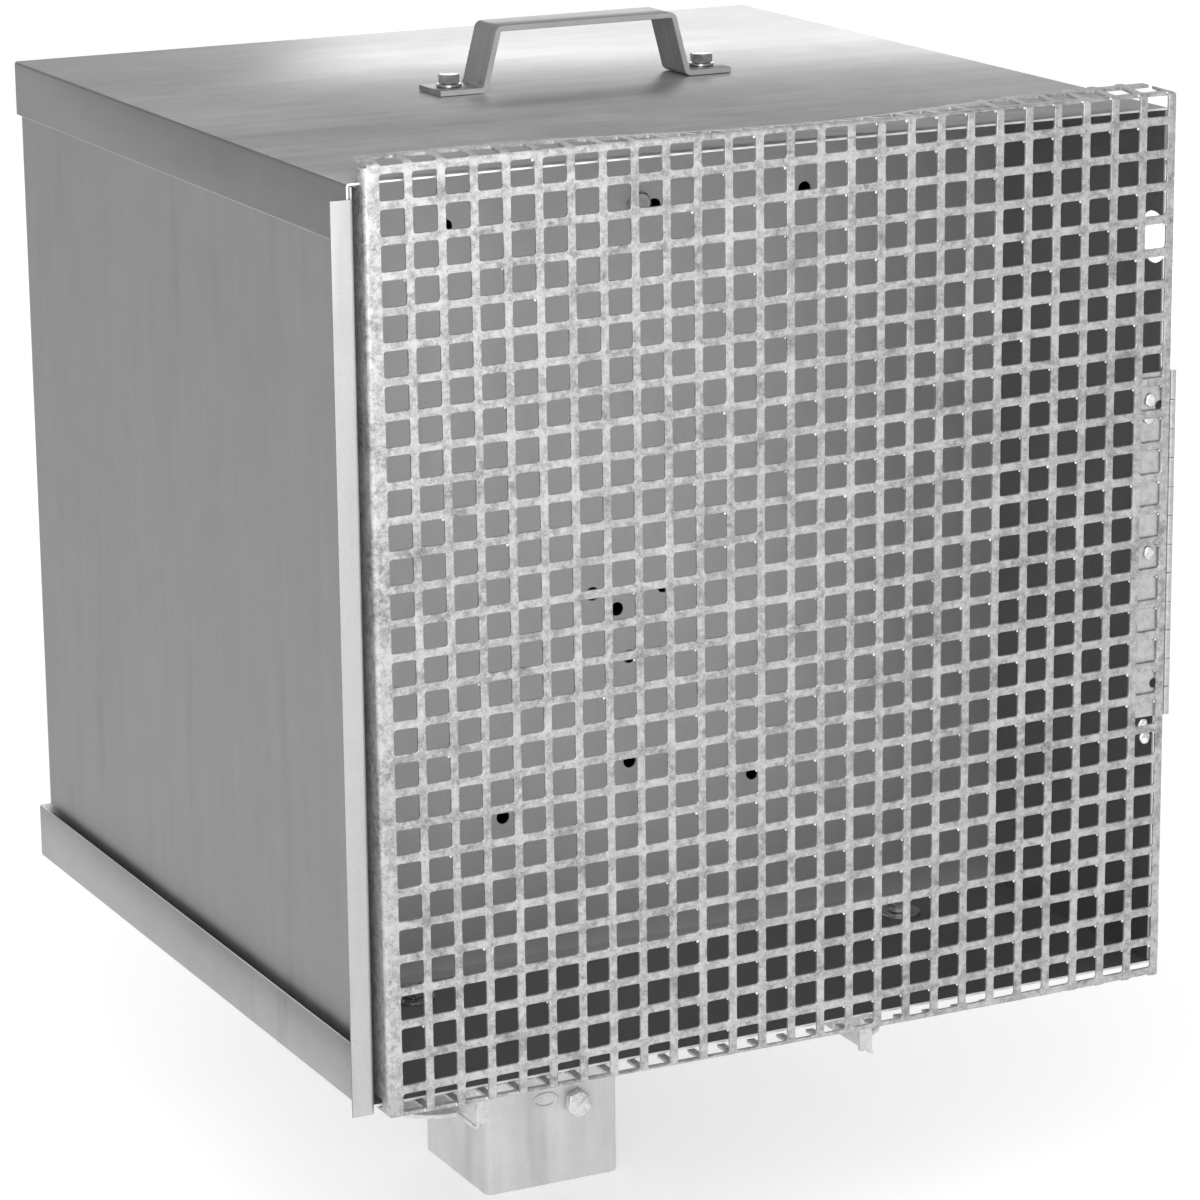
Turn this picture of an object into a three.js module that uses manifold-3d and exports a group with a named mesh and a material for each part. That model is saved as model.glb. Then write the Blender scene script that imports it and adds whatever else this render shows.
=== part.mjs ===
// A sheet-steel kennel cage on a square post stub, in millimetres with +Z up.
// The origin is the centre of the stub's lower end; the perforated door faces -Y.
import * as THREE from "three";
import { mergeGeometries, mergeVertices } from "three/addons/utils/BufferGeometryUtils.js";
import Module from "manifold-3d";

const wasm = await Module();
wasm.setup();

// ---- driving dimensions ----
const GAP = 0.3; // clearance between neighbouring pieces
const POST = { side: 100, wall: 4, top: 209.4, plate: 180, plateThick: 3, boltPitch: 140 };
const BOX = { middle: -2.3, front: -369, back: 173, bottom: 213, top: 757 };
const SHEET = 1.5; // lid and tray
const PANEL = 1.2; // side, back and partition panels
const PANEL_HALF = 268.7; // from the box's middle to a side panel's outer face
const LID = { half: 270.5, flange: 35 };
const TRAY = { half: 275, flange: 36 };
const BACK_INSET = 6; // from the lid's back face to the back panel's outer face
const PARTITION = { y: -180, foot: 12 };
const STRIP = { outer: -284, front: -372, low: 210, high: 748.5 }; // the left panel's out-turned edge
const DOOR = { width: 530, height: 560, middle: 488, thick: 2, face: -380, columns: 13, rows: 14 };
const FLANGE = { top: 30, left: 22, bottomLeft: 25, bottomRight: 5 }; // depths behind the door's face
const HOLE = { pitch: 40, size: 30 };
const HINGE = {
  knuckle: 18.2, count: 12, outer: 2.7, bore: 1.6, pin: 1.5, leaf: 1.2, x: 268.3, inset: 3,
};
const DOOR_LEAF_WIDTH = 19;
const BOX_LEAF_WIDTH = 30;
const HANDLE = { x: 5, y: -95, length: 203, foot: 31, grip: 126, height: 41, width: 32, thick: 3.5 };
const BEARER = {
  web: 142, depth: 84, top: 50, foot: 36, setback: 27, lip: 9, thick: 2.5, front: -235, back: 140,
};
const PORT = { radius: 16, y: -357.5, z: 676.5 };
const M8 = {
  shank: 3.9, hole: 4.5, flats: 13, head: 5.3, nut: 6.5, washer: 8, washerThick: 1.6,
};
const M10 = { shank: 4.9, hole: 5.5, flats: 17, head: 6.6, nut: 8 };
const WIDE_WASHER = 14;
const CORNER_BOLT = { x: -248.5, y: -346, above: 20 };
const CLAMP = { x: 18, z: 56.5 };

const PANEL_LEFT = BOX.middle - PANEL_HALF; // the side panels' outer faces
const PANEL_RIGHT = BOX.middle + PANEL_HALF;
const PANEL_FRONT = BOX.front + 1;
const PANEL_BACK = BOX.back - BACK_INSET;
const FLOOR = BOX.bottom + SHEET;
const CEILING = BOX.top - SHEET;
const HINGE_Y = DOOR.face + HINGE.inset;

// ---- materials ----
const galvanised = { color: 0x9a9c9e, roughness: 0.45, metalness: 0.85 };
const zincDipped = { color: 0xb9bbbc, roughness: 0.55, metalness: 0.8 };
const brightZinc = { color: 0xc9cac8, roughness: 0.3, metalness: 0.9 };

// ---- solids ----
function solidOf(geometry) {
  const plain = geometry.clone().deleteAttribute("normal").deleteAttribute("uv");
  const merged = mergeVertices(plain, 1e-4);
  const vertProperties = new Float32Array(merged.attributes.position.array);
  const triVerts = new Uint32Array(merged.index.array);
  return new wasm.Manifold(new wasm.Mesh({ numProp: 3, vertProperties, triVerts }));
}

function geometryOf(solid) {
  const { vertProperties, triVerts } = solid.getMesh();
  const geometry = new THREE.BufferGeometry();
  geometry.setAttribute("position", new THREE.BufferAttribute(vertProperties, 3));
  geometry.setIndex(new THREE.BufferAttribute(triVerts, 1));
  geometry.computeVertexNormals();
  return geometry;
}

const join = (...solids) => solids.reduce((all, next) => all.add(next));
const cut = (solid, ...tools) => tools.reduce((all, next) => all.subtract(next), solid);

// A block given by its lowest and highest corner.
function block(low, high) {
  const size = high.map((value, i) => value - low[i]);
  const centre = high.map((value, i) => (value + low[i]) / 2);
  return solidOf(new THREE.BoxGeometry(...size).translate(...centre));
}

// A prism of the given number of sides along Z, from z = low to z = high.
function rod(x, y, low, high, radius, sides = 16) {
  const prism = new THREE.CylinderGeometry(radius, radius, high - low, sides);
  return solidOf(prism.rotateX(Math.PI / 2).translate(x, y, (low + high) / 2));
}

// The same along X or Y.
function rodAlongX(low, high, y, z, radius, sides = 16) {
  const prism = new THREE.CylinderGeometry(radius, radius, high - low, sides);
  return solidOf(prism.rotateZ(Math.PI / 2).translate((low + high) / 2, y, z));
}
function rodAlongY(x, low, high, z, radius, sides = 16) {
  const prism = new THREE.CylinderGeometry(radius, radius, high - low, sides);
  return solidOf(prism.translate(x, (low + high) / 2, z));
}

const group = new THREE.Group();

function place(name, solid, look, at = [0, 0, 0]) {
  const mesh = new THREE.Mesh(geometryOf(solid), new THREE.MeshStandardMaterial(look));
  mesh.name = name;
  mesh.position.set(...at);
  group.add(mesh);
  return mesh;
}

// ---- fasteners, each modelled with its seat at z = 0 and its head above it ----
const hexRadius = (flats) => flats / Math.sqrt(3);

function hexBolt(length, size = M8) {
  const head = rod(0, 0, 0, size.head, hexRadius(size.flats), 6);
  const crown = rod(0, 0, size.head - 0.1, size.head + 0.4, size.flats * 0.45);
  return join(head, crown, rod(0, 0, -length, 0.1, size.shank, 12));
}

function hexNut(size = M8) {
  const prism = rod(0, 0, 0, size.nut, hexRadius(size.flats), 6);
  return cut(prism, rod(0, 0, -1, size.nut + 1, size.shank + 0.2, 12));
}

function washer(radius) {
  return cut(rod(0, 0, 0, M8.washerThick, radius, 24), rod(0, 0, -1, M8.washerThick + 1, M8.hole));
}

// ---- box ----
const bearerBolts = [-1, 1].flatMap((side) => [-214, 118].map((y) => [side * 174, y]));
const plateBolts = [-1, 1].flatMap((side) =>
  [-1, 1].map((end) => [side, end].map((sign) => (sign * POST.boltPitch) / 2)));
const handleBolts = [-1, 1].map((side) => [HANDLE.x + side * 88.5, HANDLE.y]);
const spareLidHoles = [227, 248].map((x) => [x, -98]);

// A flat with its left, back and right edges folded over, open at the front. The flat's outer face is at
// z = flat and the folded edges end at z = mouth.
function foldedSheet(half, flat, mouth, holes) {
  const [left, right] = [BOX.middle - half, BOX.middle + half];
  const [low, high] = [flat, mouth].sort((p, q) => p - q);
  const [innerLow, innerHigh] = flat < mouth ? [low + SHEET, high + 1] : [low - 1, high - SHEET];
  const outside = block([left, BOX.front, low], [right, BOX.back, high]);
  const insideHigh = [right - SHEET, BOX.back - SHEET, innerHigh];
  const inside = block([left + SHEET, BOX.front - 1, innerLow], insideHigh);
  return cut(outside, inside, ...holes.map(([x, y]) => rod(x, y, flat - 3, flat + 3, M8.hole)));
}

function lidSheet() {
  return foldedSheet(LID.half, BOX.top, BOX.top - LID.flange, [...handleBolts, ...spareLidHoles]);
}

function traySheet() {
  const holes = [...bearerBolts, ...plateBolts, [CORNER_BOLT.x, CORNER_BOLT.y]];
  return foldedSheet(TRAY.half, BOX.bottom, BOX.bottom + TRAY.flange, holes);
}

// The left panel's front edge is folded out into a strip that covers the ends of the lid's and tray's flanges.
function leftSidePanel() {
  const [low, high] = [FLOOR + GAP, CEILING - GAP];
  const inner = PANEL_LEFT + PANEL;
  const end = PANEL_BACK - PANEL - GAP;
  const wall = [[PANEL_LEFT, end], [PANEL_LEFT, STRIP.front + PANEL], [STRIP.outer, STRIP.front + PANEL],
    [STRIP.outer, STRIP.front], [inner, STRIP.front], [inner, end]];
  const shape = new THREE.Shape(wall.map(([x, y]) => new THREE.Vector2(x, y)));
  const tall = { depth: high - STRIP.low, bevelEnabled: false };
  const whole = solidOf(new THREE.ExtrudeGeometry(shape, tall).translate(0, 0, STRIP.low));
  const wallBase = [PANEL_LEFT - 1, STRIP.front + PANEL, STRIP.low - 1];
  const belowWall = block(wallBase, [inner + 1, end + 1, low]);
  const stripTop = [STRIP.outer - 1, STRIP.front - 1, STRIP.high];
  const aboveStrip = block(stripTop, [inner + 1, PANEL_FRONT, high + 1]);
  return cut(whole, belowWall, aboveStrip);
}

const rivetHeights = [-80, 0, 80].map((z) => DOOR.middle + z);
const RIVET = { y: HINGE_Y + 23, hole: 2.5, shank: 2.1, head: 4, tail: 3.2 };

function rightSidePanel() {
  const inner = PANEL_RIGHT - PANEL;
  const reach = [inner - 2, PANEL_RIGHT + 2];
  const farEnd = [PANEL_RIGHT, PANEL_BACK - PANEL - GAP, CEILING - GAP];
  const wall = block([inner, PANEL_FRONT, FLOOR + GAP], farEnd);
  const port = rodAlongX(...reach, PORT.y, PORT.z, PORT.radius, 40);
  const rivetHoles = rivetHeights.map((z) => rodAlongX(...reach, RIVET.y, z, RIVET.hole));
  return cut(wall, port, ...rivetHoles);
}

function backPanel() {
  const low = [PANEL_LEFT, PANEL_BACK - PANEL, FLOOR + GAP];
  return block(low, [PANEL_RIGHT, PANEL_BACK, CEILING - GAP]);
}

// Hole centres in the partition, as distance from the middle and height above the origin.
const PARTITION_BOLT = { x: 3.5, z: 693.5 };
const partitionHoles = [
  [-126.5, 690], [121.5, 692], [15.5, 690.5], [-94.5, 311], [83.5, 314],
  [-30, 448], [20, 447], [-13, 436], [-4.5, 404], [-5, 335],
  [PARTITION_BOLT.x, PARTITION_BOLT.z],
];

function partitionPanel() {
  const [left, right] = [PANEL_LEFT + PANEL + GAP, PANEL_RIGHT - PANEL - GAP];
  const [low, high] = [FLOOR + 0.8, CEILING - GAP];
  const footEnd = PARTITION.y - PARTITION.foot;
  const whole = block([left, footEnd, low], [right, PARTITION.y + PANEL, high]);
  const front = block([left - 1, footEnd - 1, low + PANEL], [right + 1, PARTITION.y, high + 1]);
  const reach = [PARTITION.y - 2, PARTITION.y + PANEL + 2];
  return cut(whole, front, ...partitionHoles.map(([x, z]) => rodAlongY(x, ...reach, z, M8.hole)));
}

// ---- door: one folded sheet, made as a perforated face and three flanges ----
const DOOR_SIDE = DOOR.width / 2;
const DOOR_LOW = DOOR.middle - DOOR.height / 2;
const DOOR_HIGH = DOOR.middle + DOOR.height / 2;
const BEHIND_FACE = DOOR.face + DOOR.thick + GAP;

function doorFace() {
  const back = DOOR.face + DOOR.thick;
  const sheet = block([-DOOR_SIDE, DOOR.face, DOOR_LOW], [DOOR_SIDE, back, DOOR_HIGH]);
  const holes = [];
  for (let column = 0; column < DOOR.columns; column++)
    for (let row = 0; row < DOOR.rows; row++) {
      const x = (column - (DOOR.columns - 1) / 2) * HOLE.pitch;
      const z = (row - (DOOR.rows - 1) / 2) * HOLE.pitch + DOOR.middle;
      const hole = new THREE.BoxGeometry(HOLE.size, 4 * DOOR.thick, HOLE.size);
      holes.push(hole.translate(x, DOOR.face + DOOR.thick / 2, z));
    }
  return cut(sheet, solidOf(mergeGeometries(holes)));
}

function doorTopFlange() {
  const low = [-DOOR_SIDE, BEHIND_FACE, DOOR_HIGH - DOOR.thick];
  return block(low, [DOOR_SIDE, DOOR.face + FLANGE.top, DOOR_HIGH]);
}

// The left flange reaches into the box between the tray and the lid, and is notched to pass their front edges.
function doorLeftFlange() {
  const shallow = BOX.front - 2;
  const deep = DOOR.face + FLANGE.left;
  const [low, high] = [DOOR_LOW + DOOR.thick + GAP, DOOR_HIGH - DOOR.thick - GAP];
  const [mouthLow, mouthHigh] = [FLOOR + 3, CEILING - 3];
  const outline = [[BEHIND_FACE, low], [shallow, low], [shallow, mouthLow], [deep, mouthLow],
    [deep, mouthHigh], [shallow, mouthHigh], [shallow, high], [BEHIND_FACE, high]];
  const shape = new THREE.Shape(outline.map(([y, z]) => new THREE.Vector2(y, z)));
  const plate = new THREE.ExtrudeGeometry(shape, { depth: DOOR.thick, bevelEnabled: false });
  return solidOf(plate.rotateX(Math.PI / 2).rotateZ(Math.PI / 2).translate(-DOOR_SIDE, 0, 0));
}

// The bottom flange narrows towards the hinge.
function doorBottomFlange() {
  const outline = [[-DOOR_SIDE, BEHIND_FACE], [DOOR_SIDE, BEHIND_FACE],
    [DOOR_SIDE, DOOR.face + FLANGE.bottomRight], [-DOOR_SIDE, DOOR.face + FLANGE.bottomLeft]];
  const shape = new THREE.Shape(outline.map(([x, y]) => new THREE.Vector2(x, y)));
  const plate = new THREE.ExtrudeGeometry(shape, { depth: DOOR.thick, bevelEnabled: false });
  return solidOf(plate.translate(0, 0, DOOR_LOW));
}

// ---- hinge ----
const knuckleBase = (index) => DOOR.middle + (index - HINGE.count / 2) * HINGE.knuckle + GAP / 2;
const knuckleTop = (index) => knuckleBase(index + 1) - GAP;
const hingeSpan = [knuckleBase(0), knuckleTop(HINGE.count - 1)];
const everySecond = (first) => [...Array(HINGE.count / 2).keys()].map((i) => first + 2 * i);

function knuckle(index) {
  const [low, high] = [knuckleBase(index), knuckleTop(index)];
  const barrel = rod(HINGE.x, HINGE_Y, low, high, HINGE.outer);
  return cut(barrel, rod(HINGE.x, HINGE_Y, low - 1, high + 1, HINGE.bore));
}

// A leaf lying along X or Y: a strip with one tooth for each of its knuckles. Distances count from the axis.
function leaf(first, reach, side) {
  const clear = HINGE.outer + GAP;
  const outline = [[reach, hingeSpan[1]], [reach, hingeSpan[0]], [clear, hingeSpan[0]]];
  for (const index of everySecond(first)) {
    const [low, high] = [knuckleBase(index), knuckleTop(index)];
    outline.push([clear, low], [1.9, low], [1.9, high], [clear, high]);
  }
  outline.push([clear, hingeSpan[1]]);
  const moves = (p, i) => i === 0 || p[0] !== outline[i - 1][0] || p[1] !== outline[i - 1][1];
  const distinct = outline.filter(moves);
  const shape = new THREE.Shape(distinct.map(([d, z]) => new THREE.Vector2(side * d, z)));
  const plate = new THREE.ExtrudeGeometry(shape, { depth: HINGE.leaf, bevelEnabled: false });
  return plate.rotateX(Math.PI / 2);
}

function hingeDoorLeaf() {
  const reach = HINGE.outer + GAP + DOOR_LEAF_WIDTH;
  const plate = solidOf(leaf(0, reach, -1).translate(HINGE.x, BEHIND_FACE + HINGE.leaf, 0));
  const holes = [-88, 88].map((z) =>
    rodAlongY(HINGE.x - 9, BEHIND_FACE - 2, BEHIND_FACE + 4, DOOR.middle + z, 3.2));
  return cut(join(plate, ...everySecond(0).map(knuckle)), ...holes);
}

function hingeBoxLeaf() {
  const low = PANEL_RIGHT + GAP;
  const flat = leaf(1, BOX_LEAF_WIDTH, 1).rotateZ(Math.PI / 2).translate(low, HINGE_Y, 0);
  const holes = rivetHeights.map((z) => rodAlongX(low - 2, low + 4, RIVET.y, z, RIVET.hole));
  return cut(join(solidOf(flat), ...everySecond(1).map(knuckle)), ...holes);
}

function hingeRivet(z) {
  const outer = PANEL_RIGHT + GAP + HINGE.leaf + GAP;
  const inner = PANEL_RIGHT - PANEL - GAP;
  const shank = rodAlongX(inner - 0.5, outer + 0.5, RIVET.y, z, RIVET.shank);
  return join(rodAlongX(outer, outer + 1.4, RIVET.y, z, RIVET.head), shank,
    rodAlongX(inner - 1.6, inner, RIVET.y, z, RIVET.tail));
}

// ---- handle: a flat bar bent into two feet, two sloping legs and a grip ----
function carryHandle() {
  const half = HANDLE.length / 2;
  const low = BOX.top + GAP;
  const toe = half - HANDLE.foot;
  const crest = HANDLE.grip / 2;
  const upper = [[-half, HANDLE.thick], [-toe - 2, HANDLE.thick], [-crest + 1, HANDLE.height],
    [crest - 1, HANDLE.height], [toe + 2, HANDLE.thick], [half, HANDLE.thick]];
  const lower = [[half, 0], [toe - 1, 0], [crest - 3.6, HANDLE.height - HANDLE.thick],
    [3.6 - crest, HANDLE.height - HANDLE.thick], [1 - toe, 0], [-half, 0]];
  const outline = new THREE.Shape([...upper, ...lower].map(([x, z]) => new THREE.Vector2(x, z)));
  const bar = new THREE.ExtrudeGeometry(outline, { depth: HANDLE.width, bevelEnabled: false });
  bar.rotateX(Math.PI / 2).translate(HANDLE.x, HANDLE.y + HANDLE.width / 2, low);
  const holes = handleBolts.map(([x, y]) => rod(x, y, low - 1, low + HANDLE.thick + 1, M8.hole));
  return cut(solidOf(bar), ...holes);
}

// ---- underside ----
// A Z section: a top flange under the tray, a web, and an out-turned foot that starts behind the web's front
// end, where a narrow lip turns inwards.
function bearer(side) {
  const { web, thick, front, back, depth, foot, setback, lip } = BEARER;
  const top = BOX.bottom - GAP;
  const low = BOX.bottom - depth;
  const inner = web - thick;
  const outline = [[inner, low], [web + foot, low], [web + foot, low + thick], [web, low + thick],
    [web, top - thick], [web + BEARER.top, top - thick], [web + BEARER.top, top], [inner, top]];
  const shape = new THREE.Shape(outline.map(([x, z]) => new THREE.Vector2(side * x, z)));
  const channel = new THREE.ExtrudeGeometry(shape, { depth: back - front, bevelEnabled: false });
  const across = (from, to) => [side * from, side * to].sort((p, q) => p - q);
  const [near, far] = across(web, web + foot + 1);
  const [lipLow, lipHigh] = across(web - lip, web - 1);
  const turned = block([lipLow, front, low + 1], [lipHigh, front + thick, top - 1]);
  const whole = join(solidOf(channel.rotateX(Math.PI / 2).translate(0, back, 0)), turned);
  const notch = block([near, front - 1, low - 1], [far, front + setback, low + thick + 1]);
  const tools = bearerBolts.map(([x, y]) => rod(x, y, top - thick - 1, top + 1, M8.hole));
  return cut(whole, notch, ...tools);
}

function postTube() {
  const h = POST.side / 2;
  const inner = h - POST.wall;
  const hollow = block([-inner, -inner, -1], [inner, inner, POST.top + 1]);
  const tube = cut(block([-h, -h, 0], [h, h, POST.top]), hollow);
  return cut(tube, rodAlongY(CLAMP.x, -h - 1, -inner + 1, CLAMP.z, M10.hole));
}

function postTopPlate() {
  const h = POST.plate / 2;
  const low = POST.top + GAP;
  const plate = block([-h, -h, low], [h, h, low + POST.plateThick]);
  const reach = [low - 1, low + POST.plateThick + 1];
  return cut(plate, ...plateBolts.map(([x, y]) => rod(x, y, ...reach, M8.hole)));
}

// ---- assembly ----
place("lid_sheet", lidSheet(), galvanised);
place("tray_sheet", traySheet(), galvanised);
place("left_side_panel", leftSidePanel(), galvanised);
place("right_side_panel", rightSidePanel(), galvanised);
place("back_panel", backPanel(), galvanised);
place("partition_panel", partitionPanel(), galvanised);

place("door_face", doorFace(), zincDipped);
place("door_top_flange", doorTopFlange(), zincDipped);
place("door_left_flange", doorLeftFlange(), zincDipped);
place("door_bottom_flange", doorBottomFlange(), zincDipped);
place("hinge_door_leaf", hingeDoorLeaf(), brightZinc);
place("hinge_box_leaf", hingeBoxLeaf(), brightZinc);
place("hinge_pin", rod(HINGE.x, HINGE_Y, ...hingeSpan, HINGE.pin, 16), brightZinc);
rivetHeights.forEach((z, i) => place("hinge_rivet_" + (i + 1), hingeRivet(z), brightZinc));

place("carry_handle", carryHandle(), galvanised);
handleBolts.forEach(([x, y], i) => {
  const side = ["left", "right"][i];
  const seat = BOX.top + HANDLE.thick + 2 * GAP;
  place("handle_washer_" + side, washer(M8.washer), brightZinc, [x, y, seat]);
  place("handle_bolt_" + side, hexBolt(19), brightZinc, [x, y, seat + M8.washerThick + GAP]);
  place("handle_nut_" + side, hexNut(), brightZinc, [x, y, CEILING - GAP - M8.nut]);
});

const partitionBolt = place("partition_bolt", hexBolt(14), brightZinc,
  [PARTITION_BOLT.x, PARTITION.y - GAP, PARTITION_BOLT.z]);
partitionBolt.rotation.x = Math.PI / 2;
const partitionNut = place("partition_nut", hexNut(), brightZinc,
  [PARTITION_BOLT.x, PARTITION.y + PANEL + GAP + M8.nut, PARTITION_BOLT.z]);
partitionNut.rotation.x = Math.PI / 2;

place("left_bearer", bearer(-1), zincDipped);
place("right_bearer", bearer(1), zincDipped);
bearerBolts.forEach(([x, y]) => {
  const tag = (x < 0 ? "left" : "right") + (y < 0 ? "_front" : "_rear");
  place("bearer_washer_" + tag, washer(WIDE_WASHER), brightZinc, [x, y, FLOOR + GAP]);
  place("bearer_bolt_" + tag, hexBolt(18), brightZinc, [x, y, FLOOR + M8.washerThick + 2 * GAP]);
  place("bearer_nut_" + tag, hexNut(), brightZinc, [x, y, BOX.bottom - 2 * GAP - BEARER.thick - M8.nut]);
});

place("post_tube", postTube(), zincDipped);
place("post_top_plate", postTopPlate(), zincDipped);
plateBolts.forEach(([x, y]) => {
  const tag = (x < 0 ? "left" : "right") + (y < 0 ? "_front" : "_rear");
  place("post_bolt_" + tag, hexBolt(16), brightZinc, [x, y, FLOOR + GAP]);
  place("post_nut_" + tag, hexNut(), brightZinc, [x, y, POST.top - M8.nut]);
});

const clampBolt = place("post_clamp_bolt", hexBolt(13.5, M10), brightZinc,
  [CLAMP.x, -POST.side / 2 - GAP, CLAMP.z]);
clampBolt.rotation.x = Math.PI / 2;
const clampNut = place("post_clamp_nut", hexNut(M10), brightZinc,
  [CLAMP.x, -POST.side / 2 + POST.wall + GAP + M10.nut, CLAMP.z]);
clampNut.rotation.x = Math.PI / 2;

const cornerBolt = place("corner_bolt", hexBolt(CORNER_BOLT.above + 1.8), brightZinc,
  [CORNER_BOLT.x, CORNER_BOLT.y, BOX.bottom - GAP]);
cornerBolt.rotation.x = Math.PI;
place("corner_nut", hexNut(), brightZinc, [CORNER_BOLT.x, CORNER_BOLT.y, FLOOR + GAP]);

export default group;
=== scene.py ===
import math
import random

import bmesh
import bpy
from mathutils import Matrix, Vector, noise


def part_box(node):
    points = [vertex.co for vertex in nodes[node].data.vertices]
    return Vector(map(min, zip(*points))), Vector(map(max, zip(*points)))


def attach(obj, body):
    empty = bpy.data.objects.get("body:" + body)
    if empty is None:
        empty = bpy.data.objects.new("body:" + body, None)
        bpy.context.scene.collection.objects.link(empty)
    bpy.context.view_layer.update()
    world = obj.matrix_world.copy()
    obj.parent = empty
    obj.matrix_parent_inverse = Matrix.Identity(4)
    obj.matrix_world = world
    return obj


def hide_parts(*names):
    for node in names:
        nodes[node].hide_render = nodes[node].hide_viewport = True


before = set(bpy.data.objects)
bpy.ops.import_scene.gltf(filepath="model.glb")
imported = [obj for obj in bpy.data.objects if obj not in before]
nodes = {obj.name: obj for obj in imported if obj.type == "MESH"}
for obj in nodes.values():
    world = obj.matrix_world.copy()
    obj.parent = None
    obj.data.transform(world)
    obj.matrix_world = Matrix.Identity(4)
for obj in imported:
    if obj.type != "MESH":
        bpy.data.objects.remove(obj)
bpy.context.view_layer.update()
random.seed(7)

MM = 0.001


def edges_of(node):
    """Lowest and highest corner of a CAD node, in millimetres."""
    low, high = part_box(node)
    return Vector(low) / MM, Vector(high) / MM


# ---------------------------------------------------------------- materials
class Shade:
    """A small helper round one material's node tree."""

    def __init__(self, name):
        self.material = bpy.data.materials.new(name)
        self.material.use_nodes = True
        self.tree = self.material.node_tree
        self.tree.nodes.clear()
        self.surface = self.tree.nodes.new("ShaderNodeBsdfPrincipled")
        output = self.tree.nodes.new("ShaderNodeOutputMaterial")
        self.link(self.surface.outputs[0], output.inputs["Surface"])
        self.place = self.tree.nodes.new("ShaderNodeTexCoord").outputs["Object"]

    def link(self, source, target):
        self.tree.links.new(source, target)

    def feed(self, socket, value):
        """Sets a socket to a constant or links another node's output to it."""
        if isinstance(value, (int, float, tuple)):
            socket.default_value = value
        else:
            self.link(value, socket)

    def stretched(self, scale, turn=(0, 0, 0)):
        """Object coordinates scaled along each axis: a small scale makes long streaks."""
        node = self.tree.nodes.new("ShaderNodeMapping")
        node.inputs["Scale"].default_value = scale
        node.inputs["Rotation"].default_value = turn
        self.link(self.place, node.inputs["Vector"])
        return node.outputs[0]

    def noise(self, scale, detail=3.0, rough=0.55, vector=None, warp=0.0):
        node = self.tree.nodes.new("ShaderNodeTexNoise")
        node.inputs["Scale"].default_value = scale
        node.inputs["Detail"].default_value = detail
        node.inputs["Roughness"].default_value = rough
        node.inputs["Distortion"].default_value = warp
        self.link(vector or self.place, node.inputs["Vector"])
        return node.outputs[0]

    def spangle(self, scale):
        """Zinc crystals: a flat random value in each cell."""
        node = self.tree.nodes.new("ShaderNodeTexVoronoi")
        node.inputs["Scale"].default_value = scale
        self.link(self.place, node.inputs["Vector"])
        flat = self.tree.nodes.new("ShaderNodeSeparateColor")
        self.link(node.outputs["Color"], flat.inputs[0])
        return flat.outputs[0]

    def sum(self, start, *terms):
        """start plus each weight times (value - 0.5)."""
        total = start
        for value, weight in terms:
            node = self.tree.nodes.new("ShaderNodeMath")
            node.operation = "MULTIPLY_ADD"
            self.feed(node.inputs[0], value)
            node.inputs[1].default_value = weight
            self.feed(node.inputs[2], total)
            shift = self.tree.nodes.new("ShaderNodeMath")
            shift.operation = "SUBTRACT"
            self.link(node.outputs[0], shift.inputs[0])
            shift.inputs[1].default_value = weight / 2
            total = shift.outputs[0]
        return total

    def ramp(self, value, *stops):
        """A grey scale with a tone at each stop."""
        node = self.tree.nodes.new("ShaderNodeValToRGB")
        ramp = node.color_ramp
        while len(ramp.elements) < len(stops):
            ramp.elements.new(0.5)
        for element, (at, tone) in zip(ramp.elements, stops):
            element.position = at
            element.color = (tone, tone, tone, 1)
        self.link(value, node.inputs[0])
        return node.outputs[0]

    def times(self, first, second):
        """The product of two colours."""
        node = self.tree.nodes.new("ShaderNodeMix")
        node.data_type = "RGBA"
        node.blend_type = "MULTIPLY"
        node.inputs[0].default_value = 1.0
        self.link(first, node.inputs[6])
        self.link(second, node.inputs[7])
        return node.outputs[2]

    def span(self, value, low, high):
        """Spreads a noise's usual range over the given range."""
        node = self.tree.nodes.new("ShaderNodeMapRange")
        self.link(value, node.inputs["Value"])
        node.inputs["From Min"].default_value = 0.25
        node.inputs["From Max"].default_value = 0.75
        node.inputs["To Min"].default_value = low
        node.inputs["To Max"].default_value = high
        return node.outputs[0]

    def inward(self, axis, sign, inner, outer):
        """inner where the surface's own normal points to the given side of an axis, outer elsewhere; used
        to paint shade on faces turned into the box.
        """
        coord = self.tree.nodes.new("ShaderNodeTexCoord")
        parts = self.tree.nodes.new("ShaderNodeSeparateXYZ")
        self.link(coord.outputs["Normal"], parts.inputs[0])
        test = self.tree.nodes.new("ShaderNodeMath")
        test.operation = "LESS_THAN" if sign < 0 else "GREATER_THAN"
        self.link(parts.outputs[axis], test.inputs[0])
        test.inputs[1].default_value = 0.5 * sign
        return self.ramp(test.outputs[0], (0.0, outer), (1.0, inner))

    def bump(self, height, strength, distance):
        node = self.tree.nodes.new("ShaderNodeBump")
        node.inputs["Strength"].default_value = strength
        node.inputs["Distance"].default_value = distance
        self.link(height, node.inputs["Height"])
        self.link(node.outputs[0], self.surface.inputs["Normal"])

    def finish(self, colour, metallic, rough):
        self.feed(self.surface.inputs["Base Color"], colour)
        self.surface.inputs["Metallic"].default_value = metallic
        self.feed(self.surface.inputs["Roughness"], rough)
        return self.material


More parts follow.
